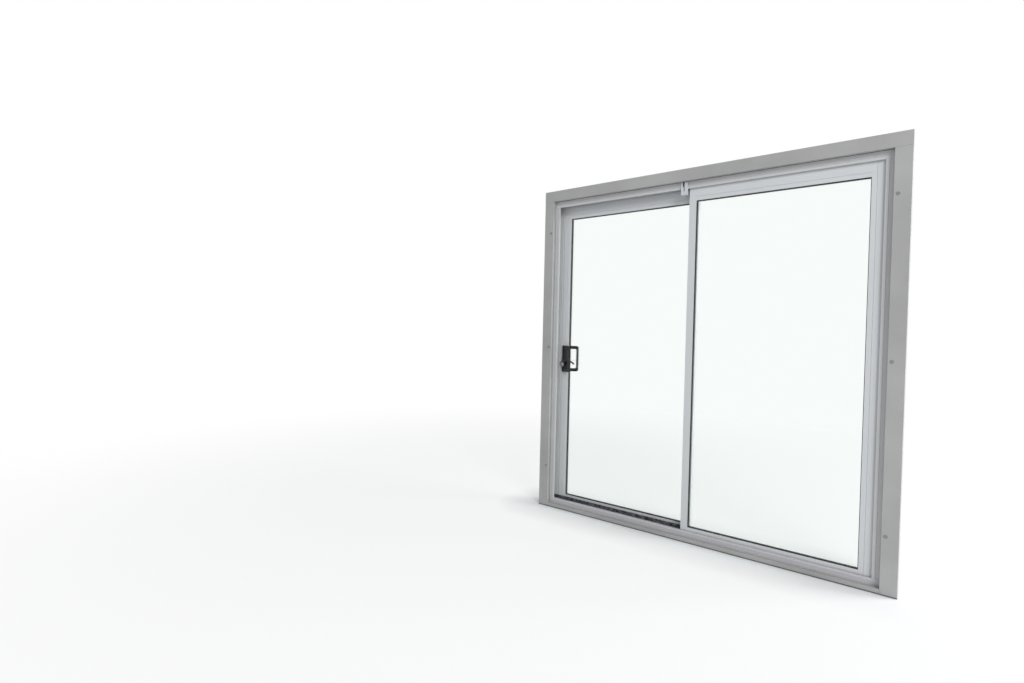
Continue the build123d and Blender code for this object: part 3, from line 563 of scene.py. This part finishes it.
# Nylon mouldings: wheels, support blocks, packers, anti-lift blocks and the end block that
# covers the interlock at the head. Each came from its mould with a faint spark-eroded grain that
# takes off the shine, and the hidden ones have yellowed a little.
def moulded_nylon(name, shade, light):
    """Nylon with a matt moulded grain, slightly translucent."""
    material, tree = new_finish(name)
    where = add(tree, "ShaderNodeTexCoord")
    grain = add(
        tree, "ShaderNodeTexNoise",
        {0: where.outputs["Object"], "Scale": per_metre(1.1), "Detail": 1.0})
    age = add(
        tree, "ShaderNodeTexNoise",
        {0: where.outputs["Object"], "Scale": per_metre(40), "Detail": 3.0})
    tone = add(tree, "ShaderNodeValToRGB", {0: age.outputs[0]})
    tone.color_ramp.elements[0].position = 0.3
    tone.color_ramp.elements[0].color = linear(shade)
    tone.color_ramp.elements[1].position = 0.75
    tone.color_ramp.elements[1].color = linear(light)
    soft = add(tree, "ShaderNodeBevel", {"Radius": 0.0008}, samples=4)
    relief = add(
        tree, "ShaderNodeBump",
        {"Strength": 0.08, "Distance": 0.0002, "Height": grain.outputs[0], "Normal": soft.outputs[0]})
    shader = add(
        tree, "ShaderNodeBsdfPrincipled",
        {"Base Color": tone.outputs[0], "Roughness": 0.42, "Normal": relief.outputs[0], "IOR": 1.53,
         "Subsurface Weight": 0.05, "Subsurface Radius": (0.002, 0.002, 0.002)})
    add(tree, "ShaderNodeOutputMaterial", {0: shader.outputs[0]})
    return material


natural_nylon = moulded_nylon("moulded_natural_nylon", "#cfd0d0", "#d9d8d2")
white_nylon = moulded_nylon("moulded_white_nylon", "#c4c6ca", "#cccfd2")
dress(natural_nylon, "fixed_panel_blocks", "fixed_panel_packers", "roller_wheels",
      "anti_lift_blocks")
dress(white_nylon, "head_end_block")

# Pad in the end block: a slip of the same dark grey pile as the brush seals, cut to the block's
# keyhole slot and pressed in, so that no draught passes over the interlock. It lies 4 mm below
# the block's face and reads as a dark keyhole.
PAD_BACK, PAD_THICKNESS = 0.008, 0.004
SLOT_FROM_EDGE, SLOT_WIDTH, NARROW_PART_WIDTH = 0.009, 0.011, 0.005
WIDE_PART_DOWN, NARROW_PART_DOWN = 0.028, 0.054
block_low, block_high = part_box("head_end_block")
block_top, block_face_y = block_high[2], block_low[1]
slot_left = block_low[0] + SLOT_FROM_EDGE
slot_right = slot_left + SLOT_WIDTH
narrow_left = slot_right - NARROW_PART_WIDTH
keyhole = [
    (slot_left, block_top), (slot_right, block_top), (slot_right, block_top - NARROW_PART_DOWN),
    (narrow_left, block_top - NARROW_PART_DOWN), (narrow_left, block_top - WIDE_PART_DOWN),
    (slot_left, block_top - WIDE_PART_DOWN)]
pad_mesh = bpy.data.meshes.new("end_block_pad")
pad_shape = bmesh.new()
outline = pad_shape.faces.new(
    [pad_shape.verts.new((x, block_face_y + PAD_BACK, z)) for x, z in keyhole])
raised = bmesh.ops.extrude_face_region(pad_shape, geom=[outline])
raised_points = [part for part in raised["geom"] if isinstance(part, bmesh.types.BMVert)]
bmesh.ops.translate(pad_shape, vec=(0, -PAD_THICKNESS, 0), verts=raised_points)
bmesh.ops.recalc_face_normals(pad_shape, faces=pad_shape.faces)
pad_shape.to_mesh(pad_mesh)
pad_shape.free()
pad = bpy.data.objects.new("end_block_pad", pad_mesh)
bpy.context.scene.collection.objects.link(pad)
pad_mesh.materials.append(pile_upright)
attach(pad, "frame")

# Lock, keeper and roller carriages: pressed steel with the screws' cloudy pale zinc plating. The
# keeper is held to the left jamb, and the lock's faceplate to the stile's edge, by two low
# screws each, one above the lock's mouth and one below.
LOW_HEAD = (0.0038, 0.0009)
KEEPER_SCREWS_OFF_MIDDLE, FACEPLATE_SCREWS_OFF_MIDDLE = 0.055, 0.070
keeper_low, keeper_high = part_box("keeper")
keeper_face_x = keeper_high[0]
faceplate_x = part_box("edge_lock")[0][0]
lock_middle_z = (keeper_low[2] + keeper_high[2]) / 2
dress(zinc_plate, "keeper", "edge_lock", "roller_carriages")
for index, way in enumerate((-1, 1)):
    keeper_screw_z = lock_middle_z + way * KEEPER_SCREWS_OFF_MIDDLE
    screw(f"keeper_screw_{index}", (keeper_face_x, OUTER_TRACK_Y, keeper_screw_z), (1, 0, 0),
          LOW_HEAD, "frame", zinc_plate)
for index, way in enumerate((-1, 1)):
    faceplate_screw_z = lock_middle_z + way * FACEPLATE_SCREWS_OFF_MIDDLE
    screw(f"faceplate_screw_{index}", (faceplate_x, OUTER_TRACK_Y, faceplate_screw_z), (-1, 0, 0),
          LOW_HEAD, "sliding_panel", zinc_plate)

# Pulls: a matching pair of cranked D handles, cast in zinc alloy and powder-coated black. The
# coat is satin with a fine texture, rubbed a little paler along the edges by hands. Each plate
# is held by two screws that pass through the stile.
black_coat, tree = new_finish("black_powder_coat_on_cast_zinc")
where = add(tree, "ShaderNodeTexCoord")
texture = add(
    tree, "ShaderNodeTexNoise",
    {0: where.outputs["Object"], "Scale": per_metre(1.4), "Detail": 2.0})
soft = add(tree, "ShaderNodeBevel", {"Radius": 0.0012}, samples=4)
shape = add(tree, "ShaderNodeNewGeometry")
turn = add(
    tree, "ShaderNodeVectorMath", {0: soft.outputs[0], 1: shape.outputs["True Normal"]},
    operation="DOT_PRODUCT")
rubbed = add(
    tree, "ShaderNodeMapRange",
    {0: turn.outputs["Value"], "From Min": 0.99, "From Max": 0.75, "To Min": 0.0, "To Max": 0.6})
black = add(
    tree, "ShaderNodeMix", {0: rubbed.outputs[0], 6: linear("#17191b"), 7: linear("#3d4144")},
    data_type="RGBA")
relief = add(
    tree, "ShaderNodeBump",
    {"Strength": 0.12, "Distance": 0.0002, "Height": texture.outputs[0], "Normal": soft.outputs[0]})
shader = add(
    tree, "ShaderNodeBsdfPrincipled",
    {"Base Color": black.outputs[2], "Roughness": 0.36, "Normal": relief.outputs[0], "IOR": 1.52})
add(tree, "ShaderNodeOutputMaterial", {0: shader.outputs[0]})
dress(black_coat, "inside_handle", "outside_handle")
PLATE_SCREW_HEAD = (0.0042, 0.0012)
PLATE_THICKNESS, PLATE_SCREWS_FROM_EDGE, PLATE_SCREWS_OFF_MIDDLE = 0.006, 0.022, 0.058
handle_low, handle_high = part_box("inside_handle")
plate_screw_x = handle_low[0] + PLATE_SCREWS_FROM_EDGE
plate_face_y = handle_high[1] - PLATE_THICKNESS
handle_middle_z = (handle_low[2] + handle_high[2]) / 2
for index, way in enumerate((-1, 1)):
    plate_screw_z = handle_middle_z + way * PLATE_SCREWS_OFF_MIDDLE
    screw(f"handle_screw_{index}", (plate_screw_x, plate_face_y, plate_screw_z), (0, -1, 0),
          PLATE_SCREW_HEAD, "sliding_panel", black_coat)

# Thumb lever: an arched blade with a fan-shaped pad, cast in zinc alloy. It has the same black coat
# as the pulls, with a patch of pale bare metal low on the pad that is a painted highlight.
lever_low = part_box("latch_lever")[0]
PATCH_MIDDLE = (lever_low[0] + 0.0165, lever_low[1], lever_low[2] + 0.0145)
# The patch's edge is ragged by up to 6 mm. It is all bare to one distance and all coat at the next.
RAGGED_BY = 0.006
BARE_TO, COATED_FROM = 0.010, 0.023
coat_with_painted_highlight, tree = new_finish("black_powder_coat_with_painted_highlight")
where = add(tree, "ShaderNodeTexCoord")
texture = add(
    tree, "ShaderNodeTexNoise",
    {0: where.outputs["Object"], "Scale": per_metre(2.6), "Detail": 4.0})
off_middle = add(
    tree, "ShaderNodeVectorMath", {0: where.outputs["Object"], 1: PATCH_MIDDLE},
    operation="DISTANCE")
ragged = add(
    tree, "ShaderNodeMath", {0: texture.outputs[0], 1: RAGGED_BY, 2: off_middle.outputs["Value"]},
    operation="MULTIPLY_ADD")
# Painted highlight: the patch of pale bare metal stands in for light caught low on the pad.
bare = add(
    tree, "ShaderNodeMapRange",
    {0: ragged.outputs[0], "From Min": BARE_TO, "From Max": COATED_FROM,
     "To Min": 1.0, "To Max": 0.0})
tone = add(
    tree, "ShaderNodeMix", {0: bare.outputs[0], 6: linear("#17191b"), 7: linear("#bcbebe")},
    data_type="RGBA")
soft = add(tree, "ShaderNodeBevel", {"Radius": 0.0015}, samples=6)
relief = add(
    tree, "ShaderNodeBump",
    {"Strength": 0.1, "Distance": 0.0002, "Height": texture.outputs[0], "Normal": soft.outputs[0]})
shader = add(
    tree, "ShaderNodeBsdfPrincipled",
    {"Base Color": tone.outputs[2], "Metallic": bare.outputs[0], "Roughness": 0.36,
     "Normal": relief.outputs[0]})
add(tree, "ShaderNodeOutputMaterial", {0: shader.outputs[0]})
dress(coat_with_painted_highlight, "latch_lever")


# Floor: a plain pale surface for the door to stand on. It keeps the door's soft shadow along
# its foot and fades to white far away, so that no horizon shows through the glass.
def for_the_eye(tree):
    """1 on rays that reach the eye straight, by gloss or through glass, and 0 on the others."""
    path = add(tree, "ShaderNodeLightPath")
    open_rays = add(
        tree, "ShaderNodeMath",
        {0: path.outputs["Is Camera Ray"], 1: path.outputs["Is Glossy Ray"]}, operation="MAXIMUM")
    return add(
        tree, "ShaderNodeMath",
        {0: open_rays.outputs[0], 1: path.outputs["Is Transmission Ray"]}, operation="MAXIMUM")


# Distances are from a strip as long and as wide as the door's foot. The white is held back
# most over the first 0.3 m, and comes in slowly from 0.8 to 5 m.
FOOT_HALF_LENGTH, FOOT_HALF_WIDTH = cad_box[1][0], 0.081
NEAR_END = 0.3
FAR_START, FAR_END = 0.8, 5.0
floor_finish, tree = new_finish("plain_pale_floor")
where = add(tree, "ShaderNodeTexCoord")
from_middle = add(tree, "ShaderNodeVectorMath", {0: where.outputs["Object"]}, operation="ABSOLUTE")
past_foot = add(
    tree, "ShaderNodeVectorMath",
    {0: from_middle.outputs[0], 1: (FOOT_HALF_LENGTH, FOOT_HALF_WIDTH, 0.0)}, operation="SUBTRACT")
beyond = add(
    tree, "ShaderNodeVectorMath", {0: past_foot.outputs[0], 1: (0, 0, 0)}, operation="MAXIMUM")
distance = add(tree, "ShaderNodeVectorMath", {0: beyond.outputs[0]}, operation="LENGTH")
near_fade = add(
    tree, "ShaderNodeMapRange",
    {0: distance.outputs["Value"], "From Min": 0.0, "From Max": NEAR_END,
     "To Min": 0.1, "To Max": 1.0})
far_fade = add(
    tree, "ShaderNodeMapRange",
    {0: distance.outputs["Value"], "From Min": FAR_START, "From Max": FAR_END,
     "To Min": 0.72, "To Max": 1.0},
    interpolation_type="SMOOTHSTEP")
fade = add(
    tree, "ShaderNodeMath", {0: near_fade.outputs[0], 1: far_fade.outputs[0]}, operation="MULTIPLY")
floor_eye = for_the_eye(tree)
whiten = add(
    tree, "ShaderNodeMath", {0: fade.outputs[0], 1: floor_eye.outputs[0]}, operation="MULTIPLY")
matt = add(
    tree, "ShaderNodeBsdfPrincipled", {"Base Color": linear("#eeeff0"), "Roughness": 0.7})
glow = add(tree, "ShaderNodeEmission", {0: (1.0, 1.0, 1.0, 1.0), 1: 1.0})
ground = add(
    tree, "ShaderNodeMixShader", {0: whiten.outputs[0], 1: matt.outputs[0], 2: glow.outputs[0]})
add(tree, "ShaderNodeOutputMaterial", {0: ground.outputs[0]})
FLOOR_RADIUS = 60.0
CLEAR_OF_DOOR = 0.0005
floor_mesh = bpy.data.meshes.new("floor")
disc = bmesh.new()
bmesh.ops.create_circle(disc, cap_ends=True, radius=FLOOR_RADIUS, segments=96)
disc.to_mesh(floor_mesh)
disc.free()
floor = bpy.data.objects.new("floor", floor_mesh)
floor.location = (0, 0, -CLEAR_OF_DOOR)
floor_mesh.materials.append(floor_finish)
bpy.context.scene.collection.objects.link(floor)

# Light: an even pale sky all round, a broad soft lamp high on the indoor side and one outdoors,
# both off the door's right-hand end. They light both sides of it, and the shadow under the
# timber head falls on the aluminium below. The sky looks white to the eye.
SKY_STRENGTH = 0.47
world = bpy.data.worlds.new("plain_sky")
bpy.context.scene.world = world
world.use_nodes = True
world.node_tree.nodes.clear()
sky = world.node_tree
sky_eye = for_the_eye(sky)
ambient = add(sky, "ShaderNodeBackground", {0: (0.97, 0.985, 1.0, 1.0), 1: SKY_STRENGTH})
white = add(sky, "ShaderNodeBackground", {0: (1.0, 1.0, 1.0, 1.0), 1: 1.0})
either = add(
    sky, "ShaderNodeMixShader", {0: sky_eye.outputs[0], 1: ambient.outputs[0], 2: white.outputs[0]})
add(sky, "ShaderNodeOutputWorld", {0: either.outputs[0]})


def soft_lamp(name, place, aim, watts):
    """A square area lamp that points at its aim and shows in no gloss or glass."""
    data = bpy.data.lights.new(name, "AREA")
    data.shape = "SQUARE"
    data.size = 3.0
    data.energy = watts
    lamp = bpy.data.objects.new(name, data)
    lamp.location = place
    lamp.visible_glossy = False
    lamp.visible_transmission = False
    lamp.rotation_euler = (Vector(aim) - Vector(place)).to_track_quat("-Z", "Y").to_euler()
    bpy.context.scene.collection.objects.link(lamp)


soft_lamp("room_lamp", place=(5.4, -4.6, 5.4), aim=(-0.4, 0, 1.0), watts=330.0)
soft_lamp("outdoor_lamp", place=(5.5, 2.8, 2.6), aim=(-0.4, 0, 1.1), watts=380.0)

# Camera: where the photo was taken from, indoors near the door's right-hand end. It has a wide
# lens at chest height, turned to the left along the door, tilted down by a degree and rolled
# by another.
CAMERA_PLACE = (1.0851, -3.1048, 1.2063)
TURN_LEFT, TILT_DOWN, ROLL = math.radians(38.095), math.radians(1.168), math.radians(1.257)
LEVEL = math.radians(90.0)
eye = bpy.data.cameras.new("camera")
eye.sensor_width = 36.0
eye.lens = 18.5625
camera = bpy.data.objects.new("camera", eye)
camera.matrix_world = (
    Matrix.Translation(CAMERA_PLACE) @ Matrix.Rotation(TURN_LEFT, 4, "Z")
    @ Matrix.Rotation(LEVEL - TILT_DOWN, 4, "X") @ Matrix.Rotation(ROLL, 4, "Z"))
bpy.context.scene.collection.objects.link(camera)
bpy.context.scene.camera = camera
bpy.context.scene.view_settings.view_transform = "Standard"
